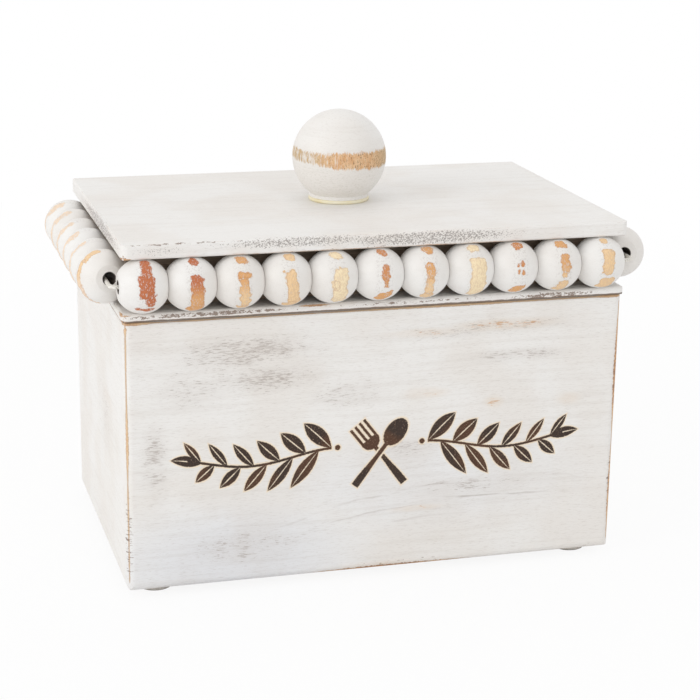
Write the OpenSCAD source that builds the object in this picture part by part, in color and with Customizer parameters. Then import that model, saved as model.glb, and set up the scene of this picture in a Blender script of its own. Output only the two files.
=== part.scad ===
// Recipe card box with a lift-off beaded lid.
// Millimetres, +Z up. The origin is on the ground under the middle of the box, and the front faces -Y.

/* [Box] */
// Width of the box across its front
box_w = 203; // [190:1:260]
// Depth of the box from front to back
box_d = 129; // [120:1:200]
// Height of the four walls
box_h = 109.4; // [105:0.1:150]
// Thickness of the four walls
wall_t = 9; // [7:0.5:12]
// Radius that eases the outer edges of the box, and the corners of the lid's boards
box_ease = 3; // [1:0.25:4]
// Radius that eases the outer edge of the rim
rim_ease = 1.4; // [0.2:0.2:2.4]

/* [Bottom] */
// Thickness of the bottom panel
bottom_t = 3.2; // [3:0.1:6]
// How far the bottom panel is let into each wall
rabbet_w = 4.5; // [4:0.25:5.5]
// Gap between the edge of the bottom panel and its rabbet
rabbet_clear = 0.2; // [0.1:0.05:0.5]

/* [Feet] */
// Diameter of a foot pad
foot_dia = 14; // [10:0.5:18]
// Thickness of a foot pad
foot_t = 3; // [2:0.25:5]
// Distance from the middle of a foot to the two faces beside it
foot_inset = 13; // [11:0.5:20]
// Radius that eases the lower edge of a foot pad
foot_ease = 0.8; // [0.4:0.2:1.6]

/* [Lid] */
// Thickness of the lower board, which sits on the rim
lower_board_t = 3.4; // [3.2:0.1:6]
// Radius that eases the edges of the lower board
lower_board_ease = 1.5; // [0.3:0.1:1.6]
// How far the lower board reaches past the box all round
lower_over = 0.7; // [0:0.1:2]
// Thickness of the top board
top_board_t = 5.9; // [4:0.1:9]
// Radius that eases the edges of the top board
top_board_ease = 0.9; // [0.3:0.1:1.8]
// How far the top board reaches past the box at each side
top_over_side = 0.5; // [0:0.25:4]
// How far the top board reaches past the box at the front and the back
top_over_front = 1.8; // [0:0.1:4]

/* [Locating strips] */
// Width of the strips that keep the lid from sliding off
strip_w = 6; // [4:0.5:10]
// How far the strips drop into the box
strip_drop = 4; // [3:0.25:8]
// Gap between the strips and the walls
strip_clear = 0.8; // [0.4:0.1:1.5]

/* [Beads] */
// Diameter of a bead
bead_dia = 21; // [16:0.1:26]
// Length of a bead between the flats round its hole
bead_len = 18.3; // [14:0.1:24]
// Diameter of the hole through a bead
bead_hole_dia = 5.2; // [3:0.1:7]
// Least gap between two beads of a row
bead_gap = 0.1; // [0.05:0.05:1]
// Gap between a bead and the board above or below it
bead_clear = 0.1; // [0.1:0.05:0.4]
// How far the front and back rows stand out from the box, at the middle of a bead, or in from it below 0
bead_out_front = -1; // [-1.75:0.25:5]
// How far the side rows stand out from the box, at the middle of a bead
bead_out_side = 4.3; // [1:0.1:6]
// How far the four rows are slid round the lid, clockwise from above
bead_slide = 1.5; // [0:0.1:2]
// Gap between the beads and the core behind them
core_clear = 0.3; // [0.2:0.05:0.6]
// Gap between the corner beads of two rows that meet
corner_clear = 0.3; // [0.2:0.05:2]
// Diameter of the cord through the beads
cord_dia = 1.6; // [1:0.1:2]
// Gap between the cord and the hole's mouth in a corner bead, which the cord swings round
cord_clear = 0.2; // [0.1:0.05:0.5]
// How far above level the mouth of a corner bead swings, as an angle round the cord
swing_rise = 45; // [0:5:90]

/* [Knob] */
// Diameter of the ball
knob_dia = 38.8; // [30:0.2:50]
// How much of the ball its flat foot cuts off
knob_flat = 2.9; // [1:0.1:3.6]
// Diameter of the short neck below the ball
neck_dia = 24.4; // [22:0.2:28]
// Diameter of the ring that the knob stands on
ring_dia = 25.2; // [22:0.2:34]
// Thickness of the ring
ring_t = 1.6; // [1:0.1:3]

/* [Fasteners] */
// Diameter of the knob's screw
screw_dia = 4; // [3:0.5:5]
// Diameter of the knob's screw head
screw_head_dia = 8; // [7:0.5:10]
// Depth that the knob's screw reaches into the knob
screw_bite = 14; // [10:1:20]
// Gap round the screw in the boards
screw_clear = 0.2; // [0.1:0.05:0.4]
// Gap round the screw in the knob, which it bites into
screw_fit = 0.05; // [0.03:0.01:0.1]
// Diameter of a brad
brad_dia = 1.3; // [1:0.1:1.6]
// Diameter of a brad's head
brad_head_dia = 2.2; // [1.8:0.1:2.6]
// Thickness of a brad's head
brad_head_t = 0.7; // [0.5:0.1:1]
// Gap round a brad in its hole
brad_clear = 0.05; // [0.03:0.01:0.1]
// Length of a corner brad
corner_brad_len = 25; // [20:1:32]
// Depth that a corner brad's head is sunk and filled over
corner_brad_sink = 1; // [0.5:0.25:2]
// Distance from the top and bottom of the box to its outer corner brads
corner_brad_margin = 18; // [12:1:30]
// Length of a bottom brad
bottom_brad_len = 14; // [10:1:18]
// Distance from the sides of the box to the outer bottom brads
bottom_brad_margin = 38; // [30:1:50]
// Length of a lid brad
lid_brad_len = 15; // [10:1:20]
// Distance from the core's edges to the lid brads
lid_brad_margin = 15; // [10:1:25]

/* [Hidden] */
$fn = 96;
past = 1;

bead_r = bead_dia / 2;
cord_r = cord_dia / 2;
knob_r = knob_dia / 2;

// Heights, from the ground up
box_z = foot_t;
rim_z = box_z + box_h;
lower_board_top_z = rim_z + lower_board_t;
bead_z = lower_board_top_z + bead_clear + bead_r;
top_board_z = bead_z + bead_r + bead_clear;
ring_z = top_board_z + top_board_t;
knob_z = ring_z + ring_t;
ball_z = knob_z + knob_r - knob_flat;

// Inside of the box
inner_w = box_w - 2 * wall_t;
inner_d = box_d - 2 * wall_t;
rabbet_edge = wall_t - rabbet_w;

// Lid boards and what they hold
lower_w = box_w + 2 * lower_over;
lower_d = box_d + 2 * lower_over;
top_w = box_w + 2 * top_over_side;
top_d = box_d + 2 * top_over_front;
row_y = box_d / 2 + bead_out_front;
row_x = box_w / 2 + bead_out_side;
core_w = 2 * (row_x - bead_r - core_clear);
core_d = 2 * (row_y - bead_r - core_clear);
core_h = top_board_z - lower_board_top_z;
strips_w = inner_w - 2 * strip_clear;
strips_d = inner_d - 2 * strip_clear;

// Each row holds as many beads as fit, spread evenly
front_count = floor(box_w / (bead_len + bead_gap));
front_span = box_w * (1 - 1 / front_count);

// How far from the middle a side row can reach before its last bead meets the row round the corner
function side_reach(slide) =
    row_y + slide - sqrt(pow(bead_dia + corner_clear, 2) - pow(row_x - front_span / 2 - slide, 2));
side_span = 2 * min(side_reach(bead_slide), side_reach(-bead_slide));

// The cord runs through the middle of the holes and turns where two rows meet
cord_bend = 2 * cord_dia;

// A corner bead swings on the cord, towards the row round the corner, until its mouth nearly touches
corner_swing = asin((bead_hole_dia / 2 - cord_r - cord_clear) / (bead_len / 2));
corner_turn = corner_swing * cos(swing_rise);
corner_tilt = corner_swing * sin(swing_rise);

// A swung bead is longer along its row, by the rim of its flat, and its neighbour stands off by as much
bead_flat_r = sqrt(pow(bead_r, 2) - pow(bead_len / 2, 2));
swing_room = bead_flat_r * sin(corner_swing) - bead_len / 2 * (1 - cos(corner_swing));
side_run = side_span - 2 * swing_room;
side_count = 1 + floor(side_run / (bead_len + bead_gap));
side_pitch = side_run / (side_count - 1);

function spread(count, span) = [for (i = [0:count - 1]) -span / 2 + span * i / (count - 1)];
front_x = spread(front_count, front_span);
side_y = [
    -side_span / 2,
    for (i = [1:side_count - 2]) swing_room - side_span / 2 + side_pitch * i,
    side_span / 2
];

// Where the brads go
corner_brad_x = box_w / 2 - wall_t / 2;
corner_brad_z = [for (h = spread(3, box_h - 2 * corner_brad_margin)) box_z + box_h / 2 + h];
bottom_brad_x = spread(3, box_w - 2 * bottom_brad_margin);
bottom_brad_y = spread(2, box_d - 2 * bottom_brad_margin);
ledge_x = box_w / 2 - rabbet_edge - rabbet_w / 2;
ledge_y = box_d / 2 - rabbet_edge - rabbet_w / 2;
lid_brad_x = spread(3, core_w - 2 * lid_brad_margin);
lid_brad_y = spread(2, core_d - 2 * lid_brad_margin);

screw_len = knob_z + screw_bite - rim_z;
screw_head_h = (screw_head_dia - screw_dia) / 2;

paint = [0.91, 0.90, 0.88];
bare_wood = [0.78, 0.62, 0.44];
dark_wood = [0.20, 0.14, 0.10];
cream = [0.89, 0.85, 0.74];
rubber = [0.74, 0.72, 0.68];
steel = [0.70, 0.70, 0.72];

// What a quarter-round easing takes off one corner of an outline
module corner_waste(r) {
    difference() {
        translate([-past, -past]) square(r + past);
        translate([r, r]) circle(r);
    }
}

// An outline w wide and h high, its lower corners eased by low_r and its upper ones by high_r
module eased_outline(w, h, low_r, high_r) {
    difference() {
        translate([-w / 2, 0]) square([w, h]);
        for (side = [-1, 1]) scale([side, 1]) {
            translate([-w / 2, 0]) corner_waste(low_r);
            translate([-w / 2, h]) mirror([0, 1]) corner_waste(high_r);
        }
    }
}

// A block w by d by h with eased edges, standing on the ground
module eased_block(w, d, h, corner_r, low_r, high_r) {
    intersection() {
        translate([0, -d / 2, 0]) linear_extrude(h) eased_outline(w, d, corner_r, corner_r);
        rotate([90, 0, 0]) linear_extrude(d + 2 * past, center = true)
            eased_outline(w, h, low_r, high_r);
        rotate([90, 0, 90]) linear_extrude(w + 2 * past, center = true)
            eased_outline(d, h, low_r, high_r);
    }
}

module box_block() {
    translate([0, 0, box_z]) eased_block(box_w, box_d, box_h, box_ease, box_ease, rim_ease);
}

// The rabbet that the bottom panel sits in, or the panel itself where gap is its clearance
module bottom_space(gap) {
    w = box_w - 2 * rabbet_edge - 2 * gap;
    d = box_d - 2 * rabbet_edge - 2 * gap;
    drop = gap > 0 ? 0 : past;
    translate([-w / 2, -d / 2, box_z - drop]) cube([w, d, bottom_t + drop]);
}

// A brad with its head at the origin and its point up, or its hole where gap is the clearance
module brad(len, gap) {
    cylinder(h = brad_head_t + gap, d = brad_head_dia + 2 * gap);
    cylinder(h = len + gap, d = brad_dia + 2 * gap);
}

module place_corner_brads(gap) {
    for (end = [-1, 1], side = [-1, 1], z = corner_brad_z)
        translate([side * corner_brad_x, end * (box_d / 2 - corner_brad_sink), z])
            rotate([end * 90, 0, 0]) brad(corner_brad_len, gap);
}

module place_bottom_brads(gap) {
    for (end = [-1, 1], x = bottom_brad_x)
        translate([x, end * ledge_y, box_z]) brad(bottom_brad_len, gap);
    for (side = [-1, 1], y = bottom_brad_y)
        translate([side * ledge_x, y, box_z]) brad(bottom_brad_len, gap);
}

module place_lid_brads(gap) {
    for (x = lid_brad_x, y = lid_brad_y)
        translate([x, y, rim_z]) brad(lid_brad_len, gap);
}

// One wall: the part of the eased block inside a slab, with its rabbet and brad holes
module wall(size, middle) {
    difference() {
        intersection() {
            box_block();
            translate([middle.x, middle.y, box_z + box_h / 2]) cube(size, center = true);
        }
        bottom_space(0);
        place_corner_brads(brad_clear);
        place_bottom_brads(brad_clear);
    }
}

module end_wall(end) {
    color(paint) wall([box_w + past, wall_t, box_h + past], [0, end * (box_d - wall_t) / 2]);
}

module side_wall(side) {
    color(paint) wall([wall_t, inner_d, box_h + past], [side * (box_w - wall_t) / 2, 0]);
}

module bottom_panel() {
    color(bare_wood) difference() {
        bottom_space(rabbet_clear);
        place_bottom_brads(brad_clear);
    }
}

module corner_brads() {
    color(steel) place_corner_brads(0);
}

module bottom_brads() {
    color(steel) place_bottom_brads(0);
}

// A round pad with an eased lower edge
module foot(side, end) {
    flat_r = foot_dia / 2 - foot_ease;
    color(rubber) translate([side * (box_w / 2 - foot_inset), end * (box_d / 2 - foot_inset), 0])
        rotate_extrude() union() {
            translate([0, foot_ease]) square([foot_dia / 2, foot_t - foot_ease]);
            square([flat_r, foot_t]);
            intersection() {
                translate([flat_r, foot_ease]) circle(foot_ease);
                square([foot_dia / 2, foot_t]);
            }
        }
}

// The way of the knob's screw through the boards, the core and the ring
module screw_way() {
    translate([0, 0, rim_z - past]) cylinder(h = knob_z - rim_z + 2 * past, d = screw_dia + 2 * screw_clear);
}

module lower_board() {
    head_r = screw_head_dia / 2;
    color(paint) difference() {
        translate([0, 0, rim_z])
            eased_block(lower_w, lower_d, lower_board_t, box_ease, lower_board_ease, lower_board_ease);
        screw_way();
        translate([0, 0, rim_z - past])
            cylinder(h = screw_head_h + past + screw_clear, r1 = head_r + past + screw_clear, r2 = screw_dia / 2);
        place_lid_brads(brad_clear);
    }
}

module lid_core() {
    color(dark_wood) difference() {
        translate([-core_w / 2, -core_d / 2, lower_board_top_z]) cube([core_w, core_d, core_h]);
        screw_way();
        place_lid_brads(brad_clear);
    }
}

module top_board() {
    color(paint) difference() {
        translate([0, 0, top_board_z])
            eased_block(top_w, top_d, top_board_t, box_ease, top_board_ease, top_board_ease);
        screw_way();
    }
}

// The front and back strips run the whole width, and the side strips fit between them
module end_strip(end) {
    color(bare_wood) translate([-strips_w / 2, end * (strips_d - strip_w) / 2 - strip_w / 2, rim_z - strip_drop])
        cube([strips_w, strip_w, strip_drop]);
}

module side_strip(side) {
    len = strips_d - 2 * strip_w;
    color(bare_wood) translate([side * (strips_w - strip_w) / 2 - strip_w / 2, -len / 2, rim_z - strip_drop])
        cube([strip_w, len, strip_drop]);
}

// A turned ball with a flat foot and a short neck, drilled for its screw
module knob() {
    neck_h = knob_r - knob_flat - sqrt(pow(knob_r, 2) - pow(neck_dia / 2, 2));
    color(paint) difference() {
        union() {
            intersection() {
                translate([0, 0, ball_z]) sphere(knob_r);
                translate([0, 0, knob_z]) cylinder(h = knob_dia, r = knob_r + past);
            }
            translate([0, 0, knob_z]) cylinder(h = neck_h + past, d = neck_dia);
        }
        translate([0, 0, knob_z - past]) cylinder(h = screw_bite + past + screw_clear, d = screw_dia + 2 * screw_fit);
    }
}

// A thin ring with a half-round rim
module knob_ring() {
    color(cream) difference() {
        translate([0, 0, ring_z]) rotate_extrude() union() {
            square([(ring_dia - ring_t) / 2, ring_t]);
            translate([(ring_dia - ring_t) / 2, ring_t / 2]) circle(ring_t / 2);
        }
        screw_way();
    }
}

module knob_screw() {
    color(steel) translate([0, 0, rim_z]) {
        cylinder(h = screw_head_h, r1 = screw_head_dia / 2, r2 = screw_dia / 2);
        cylinder(h = screw_len, d = screw_dia);
    }
}

module lid_brads() {
    color(steel) place_lid_brads(0);
}

// A bead with its hole along X: a ball with flat ends
module bead() {
    color(paint) rotate([0, 90, 0]) difference() {
        intersection() {
            sphere(bead_r);
            cylinder(h = bead_len, r = bead_r + past, center = true);
        }
        cylinder(h = bead_len + past, d = bead_hole_dia, center = true);
    }
}

module end_bead(end, i) {
    translate([front_x[i - 1] + end * bead_slide, end * row_y, bead_z]) bead();
}

module side_bead(side, i) {
    end = i == 1 ? -1 : i == side_count ? 1 : 0;
    translate([side * row_x, side_y[i - 1] - side * bead_slide, bead_z])
        rotate([0, -end * corner_tilt, 90 + side * end * corner_turn]) bead();
}

// One closed loop: four straight runs and four round turns
module bead_cord() {
    run_x = 2 * (row_x - cord_bend);
    run_y = 2 * (row_y - cord_bend);
    color(cream) translate([0, 0, bead_z]) {
        for (end = [-1, 1])
            translate([0, end * row_y, 0]) rotate([0, 90, 0]) cylinder(h = run_x, r = cord_r, center = true);
        for (side = [-1, 1])
            translate([side * row_x, 0, 0]) rotate([90, 0, 0]) cylinder(h = run_y, r = cord_r, center = true);
        for (corner = [[1, 1, 0], [-1, 1, 90], [-1, -1, 180], [1, -1, 270]])
            translate([corner.x * run_x / 2, corner.y * run_y / 2, 0]) rotate([0, 0, corner.z])
                rotate_extrude(angle = 90) translate([cord_bend, 0]) circle(cord_r);
    }
}

end_wall(-1);  // front_panel
end_wall(1);  // back_panel
side_wall(-1);  // left_panel
side_wall(1);  // right_panel
bottom_panel();
corner_brads();
bottom_brads();
foot(-1, -1);  // front_left_foot
foot(1, -1);  // front_right_foot
foot(-1, 1);  // back_left_foot
foot(1, 1);  // back_right_foot
lower_board();
lid_core();
top_board();
end_strip(-1);  // front_strip
end_strip(1);  // back_strip
side_strip(-1);  // left_strip
side_strip(1);  // right_strip
knob();
knob_ring();
knob_screw();
lid_brads();
bead_cord();
for (i = [1:front_count]) {
    end_bead(-1, i);
    end_bead(1, i);
}
for (i = [1:side_count]) {
    side_bead(-1, i);
    side_bead(1, i);
}
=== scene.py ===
import math
import random
from collections import Counter

import bpy
from mathutils import Matrix, Vector


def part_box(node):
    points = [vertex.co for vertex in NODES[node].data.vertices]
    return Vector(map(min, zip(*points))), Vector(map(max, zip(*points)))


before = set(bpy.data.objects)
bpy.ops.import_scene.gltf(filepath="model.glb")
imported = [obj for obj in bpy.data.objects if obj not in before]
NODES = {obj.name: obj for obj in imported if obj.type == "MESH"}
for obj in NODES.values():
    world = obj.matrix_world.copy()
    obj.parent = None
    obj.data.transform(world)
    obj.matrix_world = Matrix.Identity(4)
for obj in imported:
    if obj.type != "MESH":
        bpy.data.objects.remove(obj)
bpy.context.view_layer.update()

MM = 0.001

# Sizes read from the frame, in millimetres


def box_mm(*nodes):
    """Lowest and highest corner of some nodes together."""
    corners = [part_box(name) for name in nodes]
    low = [min(c[0][k] for c in corners) / MM for k in range(3)]
    high = [max(c[1][k] for c in corners) / MM for k in range(3)]
    return low, high


def middle_of(block):
    return tuple((a + b) / 2 for a, b in zip(*block))


def half_of(block):
    return tuple((b - a) / 2 for a, b in zip(*block))


def numbered(prefix):
    """The nodes named prefix_1, prefix_2 and so on, in order."""
    count = sum(name.startswith(prefix + "_") for name in NODES)
    return [f"{prefix}_{i + 1}" for i in range(count)]


BODY = box_mm("front_panel", "back_panel", "left_panel", "right_panel")
LOWER = box_mm("lower_board")
TOP = box_mm("top_board")
KNOB = box_mm("knob")
LEFT, FRONT, FOOT_Z = BODY[0]
RIGHT, BACK, RIM_Z = BODY[1]
BALL_R = (KNOB[1][0] - KNOB[0][0]) / 2
BALL_Z = KNOB[1][2] - BALL_R


# Camera at the photograph's viewing angle

CAMERA_PLACE = (-208.97, -746.6, 302.93)
CAMERA_YAW = 16.063
CAMERA_PITCH = 16.224
CAMERA_ROLL = -0.897
CAMERA_LENS = 97.39
SENSOR = 36


def add_camera():
    yaw, pitch, roll = (math.radians(a) for a in (CAMERA_YAW, CAMERA_PITCH, CAMERA_ROLL))
    ahead = Vector((math.sin(yaw) * math.cos(pitch), math.cos(yaw) * math.cos(pitch), -math.sin(pitch)))
    right = Vector((math.cos(yaw), -math.sin(yaw), 0))
    down = ahead.cross(right)
    rolled_right = right * math.cos(roll) + down * math.sin(roll)
    rolled_down = down * math.cos(roll) - right * math.sin(roll)
    turn = Matrix((rolled_right, -rolled_down, -ahead)).transposed().to_4x4()
    data = bpy.data.cameras.new("camera")
    data.lens = CAMERA_LENS
    data.sensor_width = SENSOR
    camera = bpy.data.objects.new("camera", data)
    camera.matrix_world = Matrix.Translation(Vector(CAMERA_PLACE) * MM) @ turn
    bpy.context.scene.collection.objects.link(camera)
    bpy.context.scene.camera = camera


# Lights: a soft key from the left, a fill from the front right and one overhead

LAMPS = {
    "key": {"place": (-1.6, -0.55, 0.75), "size": 1.1, "power": 7.4, "colour": (1.0, 1.0, 1.0)},
    "fill": {"place": (0.25, -1.9, 0.75), "size": 1.5, "power": 2.3, "colour": (1.0, 0.995, 0.988)},
    "overhead": {"place": (0.1, 0.3, 1.8), "size": 1.6, "power": 2.8, "colour": (1.0, 1.0, 1.0)},
}
LAMP_AIM = (0, 0, 0.08)
SKY_LIGHT = 0.8


def add_lights():
    for name, lamp in LAMPS.items():
        data = bpy.data.lights.new(name, "AREA")
        data.shape = "DISK"
        data.size = lamp["size"]
        data.energy = lamp["power"]
        data.color = lamp["colour"]
        placed = bpy.data.objects.new(name, data)
        turn = (Vector(LAMP_AIM) - Vector(lamp["place"])).to_track_quat("-Z", "Y")
        placed.matrix_world = Matrix.Translation(lamp["place"]) @ turn.to_matrix().to_4x4()
        bpy.context.scene.collection.objects.link(placed)


# Node building

KINDS = {"number": "NodeSocketFloat", "vector": "NodeSocketVector", "colour": "NodeSocketColor"}


class Wiring:
    """Adds shader nodes to a tree. Each call returns the output that the next one is fed from."""

    def __init__(self, tree):
        self.tree = tree

    def feed(self, socket, value):
        if value is None:
            return
        if isinstance(value, bpy.types.NodeSocket):
            self.tree.links.new(value, socket)
        else:
            socket.default_value = value

    def node(self, kind, *inputs, **settings):
        """A node with its inputs in order, or by name where one is given as (name, value)."""
        made = self.tree.nodes.new(kind)
        for key, value in settings.items():
            setattr(made, key, value)
        for place, value in enumerate(inputs):
            if isinstance(value, tuple) and isinstance(value[0], str):
                self.feed(made.inputs[value[0]], value[1])
            else:
                self.feed(made.inputs[place], value)
        return made

    def math(self, operation, a, b=None, c=None):
        return self.node("ShaderNodeMath", a, b, c, operation=operation).outputs[0]

    def times(self, a, b):
        return self.math("MULTIPLY", a, b)

    def minus(self, a, b):
        return self.math("SUBTRACT", a, b)

    def sway(self, noise, reach, base):
        """A number moved up and down by a noise, by up to half of reach each way."""
        return self.math("MULTIPLY_ADD", self.minus(noise, 0.5), reach, base)

    def vector(self, operation, a, b=None, c=None):
        made = self.node("ShaderNodeVectorMath", a, b, c, operation=operation)
        return made.outputs["Value" if operation in ("LENGTH", "DOT_PRODUCT") else "Vector"]

    def split(self, vector):
        return tuple(self.node("ShaderNodeSeparateXYZ", vector).outputs)

    def join(self, x, y, z):
        return self.node("ShaderNodeCombineXYZ", x, y, z).outputs[0]

    def step(self, value, low, high, out_low=0.0, out_high=1.0):
        """A smooth step from low to high."""
        inputs = (value, low, high, out_low, out_high)
        return self.node("ShaderNodeMapRange", *inputs, interpolation_type="SMOOTHSTEP").outputs[0]

    def noise(self, vector, scale, detail=2.0, rough=0.5, colour=False):
        settings = (("Vector", vector), ("Scale", scale), ("Detail", detail), ("Roughness", rough))
        return self.node("ShaderNodeTexNoise", *settings).outputs["Color" if colour else 0]

    def streaks(self, vector, squeeze, scale, detail=3.0, rough=0.6):
        """Noise scaled by a factor along each axis. A smaller factor makes longer streaks."""
        return self.noise(self.scaled(vector, squeeze), scale, detail, rough)

    def scaled(self, vector, factors):
        return self.vector("MULTIPLY", vector, factors)

    def blend(self, share, a, b, mode="MIX"):
        """Mixes two colours."""
        made = self.node("ShaderNodeMix", share, data_type="RGBA", blend_type=mode)
        self.feed(made.inputs[6], a)
        self.feed(made.inputs[7], b)
        return made.outputs[2]

    def fade(self, share, a, b):
        """Mixes two numbers."""
        return self.node("ShaderNodeMix", share, ("A", a), ("B", b)).outputs[0]

    def strongest(self, *masks):
        total = masks[0]
        for mask in masks[1:]:
            total = self.math("MAXIMUM", total, mask)
        return total

    def ramp(self, share, *stops):
        """A colour ramp through (place, colour) stops."""
        made = self.node("ShaderNodeValToRGB", share)
        band = made.color_ramp
        while len(band.elements) < len(stops):
            band.elements.new(0.5)
        for element, (place, colour) in zip(band.elements, stops):
            element.position = place
            element.color = colour
        return made.outputs[0]

    def group(self, name, **inputs):
        """An effect that several finishes share. An input's name has _ for a space."""
        made = self.tree.nodes.new("ShaderNodeGroup")
        made.node_tree = bpy.data.node_groups[name]
        for key, value in inputs.items():
            self.feed(made.inputs[key.replace("_", " ")], value)
        return made.outputs


def new_effect(name, inputs, outputs):
    """An empty node group. Inputs are (name, kind, value) and outputs are (name, kind)."""
    tree = bpy.data.node_groups.new(name, "ShaderNodeTree")
    for label, kind, value in inputs:
        socket = tree.interface.new_socket(label, in_out="INPUT", socket_type=KINDS[kind])
        socket.default_value = value
    for label, kind in outputs:
        tree.interface.new_socket(label, in_out="OUTPUT", socket_type=KINDS[kind])
    w = Wiring(tree)
    return w, w.node("NodeGroupInput").outputs, w.node("NodeGroupOutput").inputs


def rgb(red, green, blue):
    """A colour as it looks on a screen, from 0 to 255, made linear."""
    parts = []
    for part in (red, green, blue):
        share = part / 255
        parts.append(share / 12.92 if share <= 0.04045 else ((share + 0.055) / 1.055) ** 2.4)
    return (*parts, 1.0)


# Effects that several finishes share. Places are in millimetres.

PLACE = ("Place", "vector", (0, 0, 0))
MIDDLE = ("Middle", "vector", (0, 0, 0))
HALF_SIZE = ("Half size", "vector", (1, 1, 1))
MASK = ("Mask", "number")
DISTANCE = ("Distance", "number")


def numbers(**values):
    """Inputs that are numbers, each with its first value."""
    return [(label, "number", value) for label, value in values.items()]


def make_edge_distance():
    """How far a point on a block is from the nearest of the block's edges."""
    w, given, made = new_effect("edge distance", [PLACE, MIDDLE, HALF_SIZE], [DISTANCE])
    from_middle = w.vector("ABSOLUTE", w.vector("SUBTRACT", given["Place"], given["Middle"]))
    a, b, c = w.split(w.vector("SUBTRACT", given["Half size"], from_middle))
    second = w.math("MINIMUM", w.math("MAXIMUM", a, b), c)
    w.feed(made["Distance"], w.math("MAXIMUM", w.math("MINIMUM", a, b), second))


def make_spot():
    """A soft oval patch: 1 in its middle and 0 outside."""
    inputs = [PLACE, MIDDLE, ("Reach", "vector", (10, 10, 10))]
    w, given, made = new_effect("spot", inputs, [MASK])
    away = w.vector("DIVIDE", w.vector("SUBTRACT", given["Place"], given["Middle"]), given["Reach"])
    w.feed(made["Mask"], w.step(w.vector("LENGTH", away), 1.0, 0.2))


def make_chip():
    """A patch with round corners and a ragged outline, where paint is gone. Slant leans it over."""
    inputs = [PLACE, MIDDLE, HALF_SIZE, *numbers(Round=0.9, Slant=0.0, Ragged=0.0)]
    w, given, made = new_effect("chip", inputs, [MASK, ("Rim", "number")])
    x, y, _ = w.split(w.vector("SUBTRACT", given["Place"], given["Middle"]))
    leaning = w.join(w.math("MULTIPLY_ADD", y, given["Slant"], x), y, 0.0)
    corner = w.join(given["Round"], given["Round"], 0.0)
    inner = w.vector("SUBTRACT", given["Half size"], corner)
    past_inner = w.vector("SUBTRACT", w.vector("ABSOLUTE", leaning), inner)
    past_corner = w.vector("MAXIMUM", past_inner, (0, 0, 0))
    flat = w.scaled(past_corner, (1, 1, 0))
    distance = w.math("ADD", w.minus(w.vector("LENGTH", flat), given["Round"]), given["Ragged"])
    w.feed(made["Mask"], w.step(distance, 0.2, -0.2))
    w.feed(made["Rim"], w.step(w.math("ABSOLUTE", w.math("ADD", distance, 0.2)), 0.4, 0.0))


def make_grain():
    """Lengthwise grain: Squeeze shortens the direction that it runs in."""
    w, given, made = new_effect(
        "grain",
        [PLACE, ("Squeeze", "vector", (0.05, 1, 1))],
        [("Along", "vector"), ("Fibre", "number"), ("Rings", "number")],
    )
    drift = w.vector("SUBTRACT", w.noise(given["Place"], 0.02, 1.0, colour=True), (0.5, 0.5, 0.5))
    wandered = w.vector("MULTIPLY_ADD", drift, (2.6, 2.6, 2.6), given["Place"])
    along = w.scaled(wandered, given["Squeeze"])
    w.feed(made["Along"], along)
    w.feed(made["Fibre"], w.noise(along, 2.4, 3.0, 0.6))
    w.feed(made["Rings"], w.noise(along, 0.32, 2.0, 0.5))


def make_growth_lines():
    """Thin arched lines where a board cuts across the tree's rings."""
    inputs = numbers(Along=0.0, Across=0.0, Peak=0.0, Arch=0.0017, Spacing=6.0)
    w, given, made = new_effect("growth lines", inputs, [MASK])
    off = w.minus(given["Along"], given["Peak"])
    arch = w.math("MULTIPLY_ADD", w.times(off, off), given["Arch"], given["Across"])
    slow = w.join(w.times(given["Along"], 0.35), given["Across"], 0.0)
    waved = w.math("MULTIPLY_ADD", w.noise(slow, 0.09, 2.0, 0.6), 7.0, arch)
    phase = w.math("FRACT", w.math("DIVIDE", waved, given["Spacing"]))
    w.feed(made["Mask"], w.step(w.math("ABSOLUTE", w.minus(phase, 0.5)), 0.10, 0.0))


def make_bare_wood():
    """Bare wood, from pale straw to dark brown as Depth goes from 0 to 1."""
    inputs = numbers(Fibre=0.5, Rings=0.5, Depth=0.3)
    w, given, made = new_effect("bare wood", inputs, [("Colour", "colour")])
    streak = w.sway(given["Fibre"], 0.8, given["Depth"])
    shade = w.sway(given["Rings"], 0.6, streak)
    colour = w.ramp(
        shade,
        (0.0, rgb(240, 216, 178)),
        (0.25, rgb(226, 184, 132)),
        (0.5, rgb(196, 138, 86)),
        (0.75, rgb(146, 92, 56)),
        (1.0, rgb(74, 48, 34)),
    )
    w.feed(made["Colour"], colour)


CLOUD_TINT = rgb(251, 249, 247)
STREAK_TINT = rgb(243, 241, 239)
FLECK_TINT = rgb(230, 226, 223)


def make_paint():
    """Thin white paint: soft clouds, long brush streaks and flecks, and the height of its strokes."""
    w, given, made = new_effect(
        "paint",
        [
            PLACE,
            ("Along", "vector", (0, 0, 0)),
            ("Tone", "colour", (1, 1, 1, 1)),
            ("Thin", "number", 1.0),
        ],
        [("Colour", "colour"), ("Height", "number")],
    )
    clouds = w.noise(given["Place"], 0.03, 2.0, 0.5)
    brush = w.streaks(given["Along"], (0.5, 0.5, 1), 0.55)
    fleck = w.streaks(given["Along"], (1.6, 1.6, 1), 3.4, 3.0, 0.7)
    deeper = w.blend(1.0, given["Tone"], CLOUD_TINT, "MULTIPLY")
    clouded = w.blend(w.step(clouds, 0.38, 0.62), given["Tone"], deeper)
    streak_share = w.times(w.step(brush, 0.46, 0.70, 0.0, 0.42), given["Thin"])
    streaked = w.blend(streak_share, clouded, w.blend(1.0, clouded, STREAK_TINT, "MULTIPLY"))
    fleck_share = w.times(w.step(fleck, 0.52, 0.70, 0.0, 0.6), given["Thin"])
    flecked = w.blend(1.0, streaked, FLECK_TINT, "MULTIPLY")
    w.feed(made["Colour"], w.blend(fleck_share, streaked, flecked))
    w.feed(made["Height"], w.math("MULTIPLY_ADD", fleck, 0.35, w.times(brush, 0.65)))


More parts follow.
